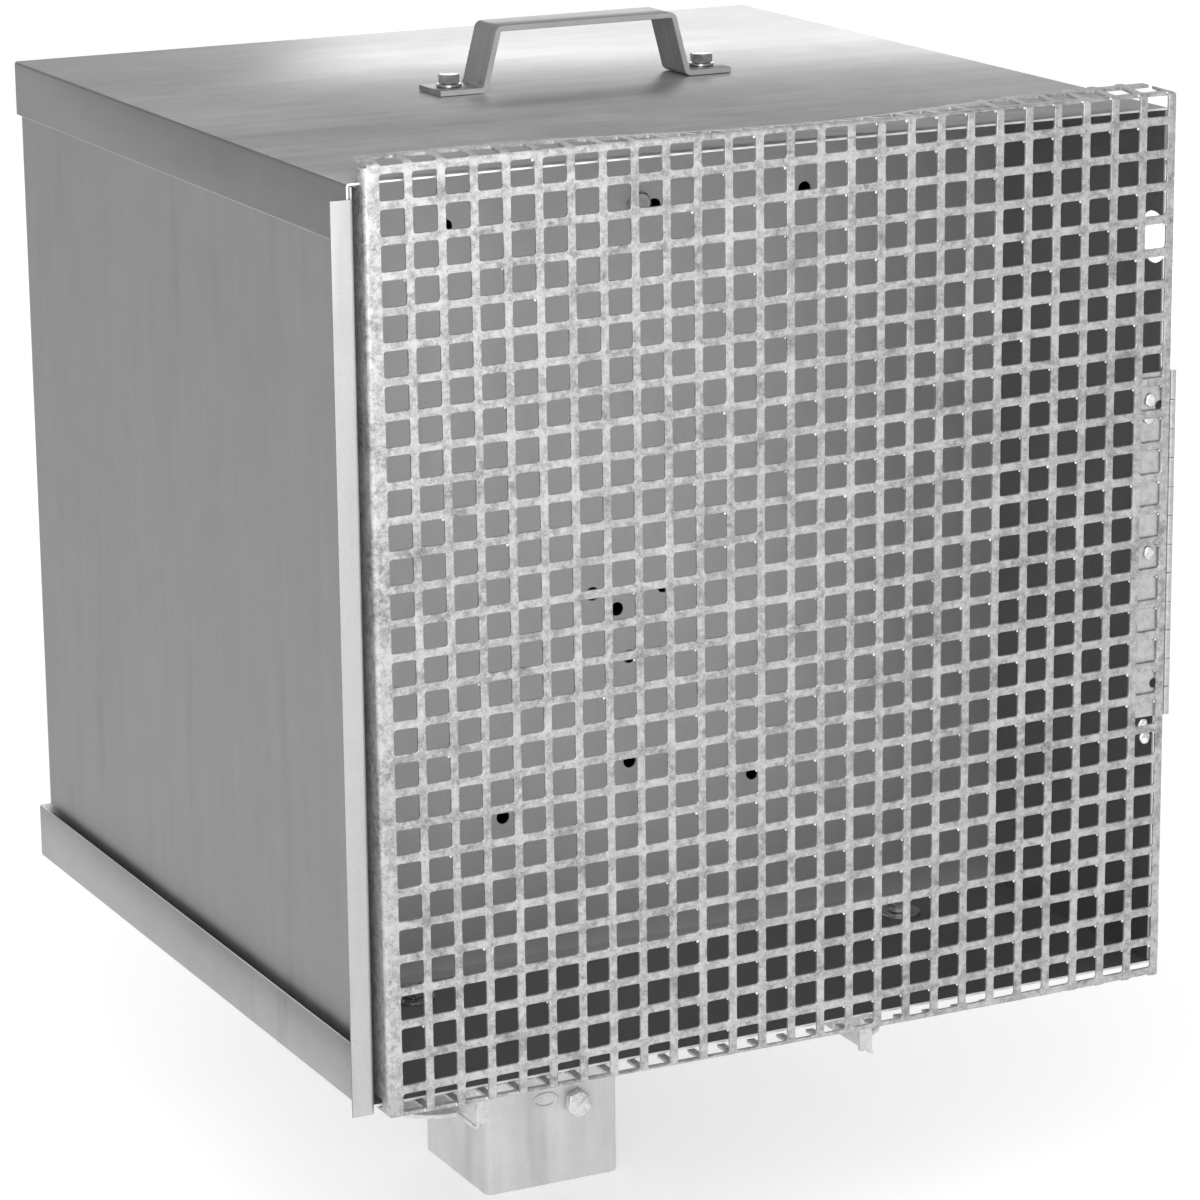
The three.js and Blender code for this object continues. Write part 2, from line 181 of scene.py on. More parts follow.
def dipped_zinc(name, dark, light, metallic=0.55, smudge=0.72):
    """Hot-dip galvanising: pale, mottled, with spangle, specks, smudges and fine scratches."""
    s = Shade(name)
    blotch = s.noise(30, 4, 0.6)
    mottle = s.noise(210, 6, 0.7, warp=0.4)
    grain = s.noise(900, 2)
    tone = s.sum(0.62, (blotch, 0.5), (mottle, 0.85), (s.spangle(260), 0.16), (grain, 0.55))
    colour = s.ramp(tone, (0.12, dark * 0.8), (0.45, dark), (0.72, light), (1.0, min(1.0, light * 1.12)))
    stain = s.sum(0.5, (s.noise(62, 6, 0.75), 1.0), (s.noise(420, 3), 0.35))
    colour = s.times(colour, s.ramp(stain, (0.3, smudge * 0.8), (0.42, smudge + 0.12), (0.5, 1.0)))
    scratch = s.noise(60, 2, 0.5, s.stretched((1.0, 1.0, 26.0), (0.3, 0.65, 0.2)))
    colour = s.times(colour, s.ramp(scratch, (0.29, 0.8), (0.33, 1.0)))
    s.bump(s.sum(0.5, (mottle, 0.8), (grain, 0.5)), 0.35, 0.0006)
    return s.finish(colour, metallic, s.span(mottle, 0.34, 0.56))


def rolled_zinc(name, tone, streak, metallic=0.8, rough=(0.3, 0.44), contrast=1.0, run=0.0,
                inner=None):
    """Mill-galvanised sheet: cloudy, with soft streaks along the rolling direction and faint stains; inner,
    when given, darkens the faces turned towards -x as painted shade.
    """
    s = Shade(name)
    cloud = s.noise(7, 5, 0.6, warp=0.3)
    lines = s.noise(20, 6, 0.65, s.stretched(streak))
    fine = s.noise(70, 4, 0.6, s.stretched(streak))
    grain = s.noise(1100, 2)
    value = s.sum(0.5, (cloud, 0.5 * contrast), (lines, 0.45 * contrast), (fine, 0.3 * contrast),
                  (s.noise(32, 5, 0.7), 0.25 * contrast), (grain, 0.4))
    colour = s.ramp(value, (0.15, tone * 0.7), (0.5, tone), (0.85, min(1.0, tone * 1.32)))
    spots = s.noise(48, 6, 0.8)
    colour = s.times(colour, s.ramp(spots, (0.27, 0.72), (0.34, 1.0)))
    if run:
        drips = s.noise(26, 3, 0.6, s.stretched((1.0, 1.0, 0.12)))
        colour = s.times(colour, s.ramp(drips, (0.32, 1.0 - run), (0.42, 1.0)))
    # painted shade: faces turned towards -x, inside the box, are darkened by the factor inner
    if inner:
        colour = s.times(colour, s.inward(0, -1, inner, 1.0))
    s.bump(s.sum(0.5, (lines, 0.8 * contrast), (s.noise(5, 2), 1.2), (grain, 0.12)), 0.14, 0.0016)
    return s.finish(colour, metallic, s.span(s.sum(0.5, (lines, 0.6), (cloud, 0.6)), *rough))


def drawn_bar(name, tone):
    """Drawn flat bar: darker grey with sharp streaks along its length."""
    s = Shade(name)
    lines = s.noise(90, 5, 0.7, s.stretched((0.1, 5.0, 0.1)))
    cloud = s.noise(30, 5, 0.65)
    grain = s.noise(1000, 2)
    value = s.sum(0.5, (lines, 0.9), (cloud, 0.4), (grain, 0.25))
    colour = s.ramp(value, (0.2, tone * 0.62), (0.5, tone), (0.8, tone * 1.3))
    s.bump(s.sum(0.5, (lines, 1.0), (grain, 0.3)), 0.3, 0.0005)
    return s.finish(colour, 0.85, s.span(lines, 0.3, 0.45))


def bright_zinc(name, tone, rough=(0.18, 0.32)):
    """Bright zinc plating on fasteners: shiny, faintly clouded, with a dull film in places."""
    s = Shade(name)
    film = s.noise(240, 4, 0.6)
    grain = s.noise(1500, 2)
    value = s.sum(0.5, (film, 0.8), (grain, 0.3))
    colour = s.ramp(value, (0.2, tone * 0.62), (0.55, tone), (0.85, tone * 1.2))
    s.bump(s.sum(0.5, (film, 0.6), (grain, 0.5)), 0.2, 0.0004)
    return s.finish(colour, 0.9, s.span(film, *rough))


ALONG_X, ALONG_Y, ALONG_Z = (0.12, 1.0, 1.0), (1.0, 0.12, 1.0), (1.0, 1.0, 0.1)
looks = {
    "door": dipped_zinc("mottled_dipped_zinc", 0.27, 0.45),
    "drip": dipped_zinc("zinc_drip", 0.6, 0.8, metallic=0.7),
    "post": rolled_zinc("post_drawn_zinc", 0.64, ALONG_Z, metallic=0.55, rough=(0.4, 0.5), run=0.14),
    # bearer: paler than the door's zinc, partly painted light that lifts the shade under the tray
    "bearer": dipped_zinc("bearer_dipped_zinc", 0.5, 0.64, metallic=0.25, smudge=0.9),
    "lid": rolled_zinc("lid_rolled_zinc", 0.42, ALONG_X, rough=(0.24, 0.4), contrast=1.5),
    "side": rolled_zinc("side_rolled_zinc", 0.205, ALONG_Z, rough=(0.34, 0.46), contrast=0.9, run=0.08),
    "edge": rolled_zinc("raw_edge_zinc", 0.8, ALONG_X, metallic=0.5, rough=(0.3, 0.4), contrast=0.6),
    # strip: a paler sheet for faces turned to the front (the left panel's strip, the handle's edges),
    # painted light
    "strip": rolled_zinc("strip_rolled_zinc", 0.47, ALONG_Z, rough=(0.36, 0.48), contrast=0.5, run=0.1),
    "tray": rolled_zinc("tray_rolled_zinc", 0.33, ALONG_Y, rough=(0.34, 0.46), contrast=0.7, run=0.1),
    # flange: a darker copy of the lid's sheet for its upright sides, painted shade
    "flange": rolled_zinc("flange_rolled_zinc", 0.17, ALONG_Y, rough=(0.34, 0.46), contrast=0.7),
    # dark: the inner faces of the lid and tray, painted shade inside the box
    "dark": rolled_zinc("shaded_rolled_zinc", 0.19, ALONG_Y, rough=(0.4, 0.5), contrast=0.5),
    "inside": rolled_zinc("inner_rolled_zinc", 0.47, ALONG_Z, rough=(0.4, 0.5), contrast=0.4),
    # wall: the right wall, its inner face darkened by half as painted shade inside the box
    "wall": rolled_zinc("wall_rolled_zinc", 0.3, ALONG_Z, rough=(0.4, 0.5), contrast=0.4, inner=0.5),
    "handle": drawn_bar("drawn_flat_bar", 0.29),
    "hinge": bright_zinc("hinge_zinc", 0.5, rough=(0.25, 0.4)),
    "fastener": bright_zinc("fastener_zinc", 0.42),
}


# ---------------------------------------------------------------- mesh helpers
def piece(name, mesh_data, body, look, replaced=(), sharp=32):
    """Turns a bmesh in millimetres into an object that rides on a body and stands for CAD nodes."""
    bmesh.ops.remove_doubles(mesh_data, verts=mesh_data.verts, dist=1e-4)
    bmesh.ops.recalc_face_normals(mesh_data, faces=mesh_data.faces)
    mesh = bpy.data.meshes.new(name)
    mesh_data.to_mesh(mesh)
    mesh_data.free()
    mesh.transform(Matrix.Scale(MM, 4))
    mesh.shade_smooth()
    mesh.set_sharp_from_angle(angle=math.radians(sharp))
    obj = bpy.data.objects.new(name, mesh)
    bpy.context.scene.collection.objects.link(obj)
    mesh.materials.append(looks[look])
    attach(obj, body)
    if replaced:
        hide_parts(*replaced)
    return obj


def modifier(obj, kind, **settings):
    """Adds a modifier with its settings."""
    made = obj.modifiers.new(kind.lower(), kind)
    for key, value in settings.items():
        setattr(made, key, value)


def loft(bm, loops, closed=False):
    """Joins loops of equal length with quads; an open loft gets a cap at each end."""
    rings = [[bm.verts.new(p) for p in loop] for loop in loops]
    pairs = list(zip(rings, rings[1:]))
    if closed:
        pairs.append((rings[-1], rings[0]))
    for first, second in pairs:
        for k in range(len(first)):
            following = (k + 1) % len(first)
            bm.faces.new((first[k], first[following], second[following], second[k]))
    if not closed:
        bm.faces.new(rings[0][::-1])
        bm.faces.new(rings[-1])


def ring(radius, z, count=36):
    """A horizontal loop; radius is a number or a function of the angle."""
    size = radius if callable(radius) else (lambda angle: radius)
    height = z if callable(z) else (lambda angle: z)
    steps = [2 * math.pi * k / count for k in range(count)]
    return [(size(a) * math.cos(a), size(a) * math.sin(a), height(a)) for a in steps]


def rounded_square(side, radius, z, steps=6):
    """A loop round a square with rounded corners."""
    reach = side / 2 - radius
    loop = []
    for corner in range(4):
        turn = corner * math.pi / 2
        centre = Matrix.Rotation(turn, 2) @ Vector((reach, reach))
        for k in range(steps + 1):
            angle = turn + k * math.pi / 2 / steps
            loop.append((centre.x + radius * math.cos(angle), centre.y + radius * math.sin(angle), z))
    return loop


def grid(us, vs, keep=lambda u, v: True):
    """A flat pattern of cells between the given lines, as vertices (u, v, 0)."""
    bm = bmesh.new()
    bm.verts.layers.float.new("inset")
    made = {}

    def vertex(i, j):
        if (i, j) not in made:
            made[i, j] = bm.verts.new((us[i], vs[j], 0))
        return made[i, j]

    for i in range(len(us) - 1):
        for j in range(len(vs) - 1):
            if keep((us[i] + us[i + 1]) / 2, (vs[j] + vs[j + 1]) / 2):
                bm.faces.new((vertex(i, j), vertex(i + 1, j), vertex(i + 1, j + 1), vertex(i, j + 1)))
    return bm


def thicken(pattern, surface, thick):
    """Wraps a flat pattern on a surface and gives it a thickness. surface(u, v) gives a point of the outer
    face and the direction into the sheet. A vertex's inset chamfers both edges of the cut there."""
    inset = pattern.verts.layers.float["inset"]
    solid = bmesh.new()
    outer, inner = {}, {}
    for vert in pattern.verts:
        point, inward = surface(vert.co.x, vert.co.y)
        outer[vert] = solid.verts.new(point + inward * vert[inset])
        inner[vert] = solid.verts.new(point + inward * (thick - vert[inset]))
    for face in pattern.faces:
        solid.faces.new([outer[v] for v in face.verts])
        solid.faces.new([inner[v] for v in reversed(face.verts)])
    for edge in pattern.edges:
        if edge.is_boundary:
            a, b = edge.verts
            solid.faces.new((outer[a], outer[b], inner[b], inner[a]))
    pattern.free()
    return solid


class Fold:
    """A polyline of 2-D points with its corners rounded, measured along its length."""

    def __init__(self, points, radius, steps=6):
        points = [Vector(p) for p in points]
        self.samples = []
        along = 0.0
        last = points[0]
        direction = (points[1] - points[0]).normalized()
        self.samples.append((0.0, last, direction))
        radii = radius if isinstance(radius, (list, tuple)) else [radius] * (len(points) - 2)
        for before, corner, after, radius in zip(points, points[1:], points[2:], radii):
            a, b = (corner - before).normalized(), (after - corner).normalized()
            turn = math.atan2(a.x * b.y - a.y * b.x, a.dot(b))
            reach = radius * math.tan(abs(turn) / 2)
            start = corner - a * reach
            side = Vector((-a.y, a.x)) * math.copysign(1, turn)
            along += (start - last).length
            centre = start + side * radius
            for k in range(steps + 1):
                rotation = Matrix.Rotation(turn * k / steps, 2)
                self.samples.append((along + radius * abs(turn) * k / steps,
                                     centre + rotation @ (start - centre), rotation @ a))
            along += radius * abs(turn)
            last = corner + b * reach
            direction = b
        self.samples.append((along + (points[-1] - last).length, points[-1], direction))

    def stops(self):
        return [s for s, _, _ in self.samples]

    def at(self, s):
        """Point and left-hand normal at a distance along the line."""
        for (s0, p0, d0), (s1, p1, d1) in zip(self.samples, self.samples[1:]):
            if s <= s1 + 1e-9:
                f = 0 if s1 == s0 else (s - s0) / (s1 - s0)
                d = d0.lerp(d1, f).normalized()
                return p0.lerp(p1, f), Vector((-d.y, d.x))
        return p1, Vector((-d1.y, d1.x))


# ---------------------------------------------------------------- fasteners
CHAMFER = math.tan(math.radians(30))
M8 = {"flats": 13.0, "head": 5.7, "nut": 6.5, "shank": 3.9, "pitch": 1.25}
M10 = {"flats": 17.0, "head": 7.0, "nut": 8.0, "shank": 4.9, "pitch": 1.5}
CLAMP_SPIN = 0.35


def thread(size, bottom, top):
    """Rings of a helical thread from top down to bottom."""
    pitch = size["pitch"]
    rings_per_turn = 5
    count = max(2, int((top - bottom) / pitch * rings_per_turn))

    def radius(angle, z):
        turns = z / pitch + angle / (2 * math.pi)
        return size["shank"] - pitch / 2 * abs(2 * (turns % 1) - 1)

    heights = [top - (top - bottom) * k / count for k in range(count + 1)]
    return [ring(lambda angle, z=z: radius(angle, z), z) for z in heights]


def hex_form(size):
    """The hexagon's radius at an angle, its flat crown's radius, and the chamfer's drop at an angle."""
    def hexagon(angle):
        return size["flats"] / 2 / math.cos((angle % (math.pi / 3)) - math.pi / 6)

    crown = size["flats"] / 2 * 0.95
    return hexagon, crown, lambda angle: (hexagon(angle) - crown) * CHAMFER


def hex_bolt(bm, size, length):
    """Seat at z = 0, head above, threaded shank below."""
    hexagon, crown, drop = hex_form(size)
    head, shank, seat = size["head"], size["shank"], size["flats"] / 2 - 0.4
    loft(bm, [
        ring(crown * 0.82, head - 0.12), ring(crown, head), ring(hexagon, lambda a: head - drop(a)),
        ring(lambda a: hexagon(a) - 0.1, 0.5), ring(seat + 0.1, 0.35), ring(seat, 0.0),
        ring(shank, 0.0), *thread(size, 1.2 - length, -1.0), ring(shank - 1.0, -length),
    ])


def hex_nut(bm, size):
    """Underside at z = 0, with a chamfer at both ends."""
    hexagon, crown, drop = hex_form(size)
    top, bore = size["nut"], size["shank"] + 0.2
    loft(bm, [
        ring(crown, 0), ring(hexagon, drop), ring(hexagon, lambda a: top - drop(a)), ring(crown, top),
        ring(bore + 0.7, top), ring(bore, top - 0.7), ring(bore, 0.7), ring(bore + 0.7, 0),
    ], closed=True)


def flat_washer(bm, radius, thick, bore=4.5):
    """A washer with eased edges, its underside at z = 0."""
    loft(bm, [
        ring(radius - 0.25, 0), ring(radius, 0.25), ring(radius, thick - 0.3), ring(radius - 0.3, thick),
        ring(bore + 0.2, thick), ring(bore, thick - 0.2), ring(bore, 0.2), ring(bore + 0.2, 0),
    ], closed=True)


def place_fastener(node):
    """Builds the fine version of a bolt, nut or washer where its CAD node is."""
    low, high = edges_of(node)
    middle = (low + high) / 2
    clamp = "clamp" in node
    forward = clamp or node.startswith("partition")  # the head faces the door
    down = node == "corner_bolt"  # the head faces down
    size = M10 if clamp else M8
    head = size["head"]
    seat = middle.copy()
    bm = bmesh.new()
    if "_bolt" in node:
        if forward:
            seat.y = low.y + head
        else:
            seat.z = low.z + head if down else high.z - head
        hex_bolt(bm, size, (high.y - low.y if forward else high.z - low.z) - head)
    elif "_nut" in node:
        if forward:
            seat.y = high.y
        else:
            seat.z = low.z
        hex_nut(bm, size)
    else:
        seat.z = low.z
        flat_washer(bm, (high.x - low.x) / 2, high.z - low.z)
    turn = Matrix.Rotation(math.pi / 2 if forward else math.pi if down else 0, 4, "X")
    spin = Matrix.Rotation(CLAMP_SPIN if clamp else random.uniform(0, math.pi / 3), 4, "Z")
    bm.transform(Matrix.Translation(seat) @ turn @ spin)
    piece("fine_" + node, bm, "cage", "drip" if clamp else "fastener", [node], sharp=24)


for node in sorted(nodes):
    if any(kind in node for kind in ("_bolt", "_nut", "_washer")):
        place_fastener(node)


def dome(bm, centre, axis, radius, height):
    """A rivet head: a low dome along +X or -X from its seat."""
    turn = Matrix.Rotation(math.copysign(math.pi / 2, axis), 4, "Y")
    part = bmesh.new()
    profile = [(radius, 0), (radius, height * 0.3), (radius * 0.93, height * 0.6),
               (radius * 0.72, height * 0.86), (radius * 0.4, height * 0.98), (radius * 0.1, height)]
    loft(part, [ring(r, h, 20) for r, h in profile])
    part.transform(Matrix.Translation(centre) @ turn)
    mesh = bpy.data.meshes.new("part")
    part.to_mesh(mesh)
    part.free()
    bm.from_mesh(mesh)
    bpy.data.meshes.remove(mesh)


def rivet(index):
    """A rivet through the box leaf and the right wall: a dome outside, a swelled end inside."""
    node = f"hinge_rivet_{index}"
    low, high = edges_of(node)
    middle = (low + high) / 2
    head, swell, radius, sunk = 1.4, 1.6, 2.1, 0.1
    bm = bmesh.new()
    dome(bm, Vector((high.x - head, middle.y, middle.z)), 1, 4, head)
    dome(bm, Vector((low.x + swell, middle.y, middle.z)), -1, 3.2, swell)
    loft(bm, [[(x, middle.y + dy, middle.z + dz) for dy, dz, _ in ring(radius, 0, 20)]
              for x in (low.x + swell - sunk, high.x - head + sunk)])
    piece(f"fine_rivet_{index}", bm, "cage", "fastener", [node])


for index in (1, 2, 3):
    rivet(index)


# ---------------------------------------------------------------- door: one perforated, folded sheet
FACE_LOW, FACE_HIGH = edges_of("door_face")
FACE = FACE_LOW.y
SIDE, LOW, HIGH = FACE_HIGH.x, FACE_LOW.z, edges_of("door_top_flange")[1].z
THICK = 2.0
COLUMNS, ROWS = 26, 28
STEP_X, RISE, STEP_Z = 20.005, 0.288, 19.975
CENTRE_X, CENTRE_Z = 2.47, (LOW + HIGH) / 2 - 0.1
HOLE, CORNER, EDGE = 15.0, 1.45, 0.25
RADIUS = 2.5
QUARTER = RADIUS * math.pi / 2
TOP_FOLD, BOTTOM_FOLD, LEFT_FOLD = HIGH - RADIUS, LOW + RADIUS, -SIDE + RADIUS
LEFT_DEPTH = 22.0
TOP_REACH = 32.5  # from the top row's centres to the top flange's raw edge, in the flat sheet
BOTTOM_DEPTHS = (25.0, 5.0)  # the bottom flange's depth at its left and right ends
NOTCH = 4.5, 6.5  # the left flange's notches: height beyond the tray's and the lid's faces, and depth kept
SPARE_ROWS = 2  # rows beyond the face at each end, which the folds take up
LEFT_END = LEFT_FOLD - QUARTER - (LEFT_DEPTH - RADIUS)


def cell_point(column, row, a, b):
    """A point of a cell in the flat pattern; a and b run from -1 to 1 across half a pitch."""
    i, j = column - (COLUMNS - 1) / 2 + a / 2, row - (ROWS - 1) / 2 + b / 2
    return (CENTRE_X + STEP_X * i, CENTRE_Z + RISE * i - STEP_Z * j, 0)


def hole_loop(size, radius, steps=3):
    """Corner arcs of a hole in the units of half a pitch, one list for each corner, going round."""
    half = STEP_X / 2
    arcs = []
    for quarter in range(4):
        turn = quarter * math.pi / 2
        centre = Matrix.Rotation(turn, 2) @ Vector((size / 2 - radius, size / 2 - radius))
        arcs.append([((centre.x + radius * math.cos(turn + k * math.pi / 2 / steps)) / half,
                      (centre.y + radius * math.sin(turn + k * math.pi / 2 / steps)) / half)
                     for k in range(steps + 1)])
    return arcs


def door_pattern():
    """The flat sheet: cells with a chamfered square hole each, and plain bands at the left and right."""
    bm = bmesh.new()
    inset = bm.verts.layers.float.new("inset")
    rim = hole_loop(HOLE + 2 * EDGE, CORNER + EDGE)
    wall = hole_loop(HOLE, CORNER)
    tie = (HOLE / 2 - CORNER) / (STEP_X / 2)
    for column in range(COLUMNS):
        for row in range(-SPARE_ROWS, ROWS + SPARE_ROWS):
            def at(a, b, depth=0.0):
                vert = bm.verts.new(cell_point(column, row, a, b))
                vert[inset] = depth
                return vert

            outside = []
            for quarter in range(4):
                turn = Matrix.Rotation(quarter * math.pi / 2, 2)
                outside.append([at(*(turn @ Vector(p))) for p in ((1, tie), (1, 1), (tie, 1))])
            arcs = [[at(a, b) for a, b in arc] for arc in rim]
            cuts = [[at(a, b, EDGE) for a, b in arc] for arc in wall]
            for quarter in range(4):
                before, corner, after = outside[quarter]
                p0, p1, p2, p3 = arcs[quarter]
                bm.faces.new((before, corner, p1, p0))
                bm.faces.new((corner, p2, p1))
                bm.faces.new((corner, after, p3, p2))
                following = (quarter + 1) % 4
                bm.faces.new((after, outside[following][0], arcs[following][0], p3))
                arc, cut = arcs[quarter], cuts[quarter]
                for k in range(3):
                    bm.faces.new((arc[k], arc[k + 1], cut[k + 1], cut[k]))
                bm.faces.new((p3, arcs[following][0], cuts[following][0], cut[3]))
    for row in range(-SPARE_ROWS, ROWS + SPARE_ROWS):
        for b0, b1 in ((-1, -tie), (-tie, tie), (tie, 1)):
            for column, edge, far in ((0, -1, LEFT_END - 1), (COLUMNS - 1, 1, SIDE)):
                near = [cell_point(column, row, edge, b) for b in (b0, b1)]
                away = [(far, p[1], 0) for p in near]
                bm.faces.new([bm.verts.new(p) for p in (near[0], near[1], away[1], away[0])])
    bmesh.ops.remove_doubles(bm, verts=bm.verts, dist=1e-3)
    return bm


def slice_pattern(bm, point, normal, where=None, remove=False):
    """Cuts the pattern along a line; where limits it to some faces; remove drops the normal's side."""
    faces = [f for f in bm.faces if where is None or where(f.calc_center_median())]
    geometry = set(faces) | {e for f in faces for e in f.edges} | {v for f in faces for v in f.verts}
    bmesh.ops.bisect_plane(bm, geom=list(geometry), dist=1e-5, plane_co=(*point, 0), plane_no=(*normal, 0))
    if remove:
        gone = [f for f in bm.faces if (where is None or where(f.calc_center_median()))
                and (f.calc_center_median().xy - Vector(point)).dot(Vector(normal)) > 0]
        bmesh.ops.delete(bm, geom=gone, context="FACES")


def smooth(edge0, edge1, x):
    """0 at the first edge and 1 at the second, with a gentle start and end."""
    t = min(1.0, max(0.0, (x - edge0) / (edge1 - edge0)))
    return t * t * (3 - 2 * t)


def top_tilt(u):
    """How far the top flange is bent open, in radians, along the door."""
    sagging = smooth(-190, 0, u) * (1 - smooth(30, 200, u))
    return math.radians(6 - 13 * sagging)


def bow(u, v):
    """The door's left edge leans back towards the box, most at the top."""
    return 5.5 * smooth(150, -SIDE, u) * min(1.0, max(0.0, (v - LOW) / (HIGH - LOW)))


def folded(s, limit):
    """Position (back, out) and direction into the sheet after a bend that starts at s = 0."""
    angle = min(max(s, 0) / RADIUS, limit)
    extra = max(0.0, s - RADIUS * limit)
    back = RADIUS * (1 - math.cos(angle)) + extra * math.sin(angle)
    out = RADIUS * math.sin(angle) + extra * math.cos(angle)
    return back, out, (math.cos(angle), -math.sin(angle))


def door_surface(u, v):
    """The folded door: where a point of the flat sheet's outer face goes, and the way into the sheet."""
    x, y, z = u, FACE + bow(u, v), v
    inward = Vector((0, 1, 0))
    if v > TOP_FOLD:
        back, out, (iy, iz) = folded(v - TOP_FOLD, math.pi / 2 - top_tilt(u))
        y, z, inward = y + back, TOP_FOLD + out, Vector((0, iy, iz))
    elif v < BOTTOM_FOLD:
        back, out, (iy, iz) = folded(BOTTOM_FOLD - v, math.pi / 2)
        y, z, inward = y + back, BOTTOM_FOLD - out, Vector((0, iy, -iz))
    elif u < LEFT_FOLD:
        back, out, (iy, ix) = folded(LEFT_FOLD - u, math.pi / 2)
        x, y, inward = LEFT_FOLD - out, y + back, Vector((-ix, iy, 0))
    return Vector((x, y, z)), inward


def build_door():
    """Trims the flat sheet, adds lines where it bends, and folds it."""
    bm = door_pattern()
    row_left = cell_point(0, 0, 0, 0)
    slope = Vector((STEP_X, RISE)).normalized()
    # the raw back edge of the top flange, and its slanting right-hand end
    slice_pattern(bm, (row_left[0], row_left[1] + TOP_REACH), (-slope.y - 0.005, slope.x), remove=True)
    slice_pattern(bm, (0, TOP_FOLD), (0, 1))
    slice_pattern(bm, (SIDE, TOP_FOLD + 2), (1, 0.27), lambda c: c.y > TOP_FOLD, remove=True)
    # the raw front edge of the bottom flange
    bottom_left, bottom_right = [BOTTOM_FOLD - QUARTER - (depth - RADIUS) for depth in BOTTOM_DEPTHS]
    slice_pattern(bm, (-SIDE, bottom_left), (bottom_right - bottom_left, -2 * SIDE), remove=True)
    for k in range(5):
        turned = QUARTER * k / 4
        slice_pattern(bm, (0, TOP_FOLD + turned), (0, 1))
        slice_pattern(bm, (0, BOTTOM_FOLD - turned), (0, 1))
        slice_pattern(bm, (LEFT_FOLD - turned, 0), (1, 0))
    # the flat corners beside the folds, then the left flange's notches
    slice_pattern(bm, (LEFT_FOLD, 0), (-1, 0), lambda c: c.y > TOP_FOLD or c.y < BOTTOM_FOLD, remove=True)
    spare, kept = NOTCH
    inner_low, inner_high = edges_of("tray_sheet")[0].z + spare, edges_of("lid_sheet")[1].z - spare
    for height, up in ((inner_low, -1), (inner_high, 1)):
        slice_pattern(bm, (0, height), (0, up), lambda c: c.x < LEFT_FOLD)
        slice_pattern(bm, (LEFT_FOLD - QUARTER - kept, height), (-1, 0),
                      lambda c, h=height, up=up: (c.y - h) * up > 0 and c.x < LEFT_FOLD, remove=True)
    slice_pattern(bm, (LEFT_END, 0), (-1, 0), remove=True)
    piece("perforated_door", thicken(bm, door_surface, THICK), "door", "door",
          ["door_face", "door_top_flange", "door_left_flange", "door_bottom_flange"])


build_door()


def blob(bm, centre, radii, seed, detail=2):
    """A lumpy drop of metal."""
    made = bmesh.ops.create_icosphere(bm, subdivisions=detail, radius=1.0)["verts"]
    for vert in made:
        swell = 1 + 0.22 * noise.noise(vert.co * 1.7 + Vector((seed, 2.3 * seed, 0)))
        vert.co = Vector(centre) + Vector([vert.co[k] * radii[k] * swell for k in range(3)])


def zinc_drips():
    """Beads of zinc left in the holes' upper right corners, mostly on the right half of the door."""
    bm = bmesh.new()
    for column in range(COLUMNS):
        for row in range(ROWS):
            if random.random() > 0.08 + 0.75 * smooth(6, 18, column):
                continue
            size = random.uniform(0.7, 1.25)
            u, v, _ = cell_point(column, row, 0.66, -0.66)
            blob(bm, (u, FACE + 1.0 + bow(u, v), v), (size, 0.75, size), column * 31 + row, 1)
    piece("zinc_drips", bm, "door", "drip", sharp=80)


zinc_drips()


# ---------------------------------------------------------------- sheet-metal box
def pan(node, look, flange_look):
    """Lid or tray: a flat sheet with three edges folded over, open at the front."""
    low, high = edges_of(node)
    sheet, fold = 1.5, 2.0
    flat, mouth = (high.z, low.z) if node == "lid_sheet" else (low.z, high.z)
    bm = bmesh.new()
    corner = {(x, y, z): bm.verts.new((x, y, z)) for x in (low.x, high.x) for y in (low.y, high.y)
              for z in (flat, mouth)}

    def face(*keys):
        return bm.faces.new([corner[k] for k in keys])

    left, right, front, back = low.x, high.x, low.y, high.y
    face((left, front, flat), (right, front, flat), (right, back, flat), (left, back, flat))
    face((left, front, flat), (left, back, flat), (left, back, mouth), (left, front, mouth))
    face((right, front, flat), (right, front, mouth), (right, back, mouth), (right, back, flat))
    face((left, back, flat), (right, back, flat), (right, back, mouth), (left, back, mouth))
    bmesh.ops.bevel(bm, geom=[e for e in bm.edges if not e.is_boundary], offset=fold, segments=4,
                    profile=0.5, affect="EDGES")
    obj = piece(node.replace("sheet", "folded"), bm, "cage", look, [node], sharp=50)
    for other in (flange_look, "dark", "edge"):
        obj.data.materials.append(looks[other])
    # upright faces take flange_look; for the lid that is a darker copy of its sheet, painted shade
    for polygon in obj.data.polygons:
        polygon.material_index = 1 if abs(polygon.normal.z) < 0.7 else 0
    # the solidified inner faces take the dark look, painted shade; the rims take the raw-edge look
    modifier(obj, "SOLIDIFY", thickness=sheet * MM, offset=-1.0, use_even_offset=True, material_offset=2,
             material_offset_rim=3)
    modifier(obj, "BEVEL", width=0.25 * MM, segments=1, limit_method="ANGLE", angle_limit=math.radians(60))


pan("lid_sheet", "lid", "flange")
pan("tray_sheet", "tray", "tray")


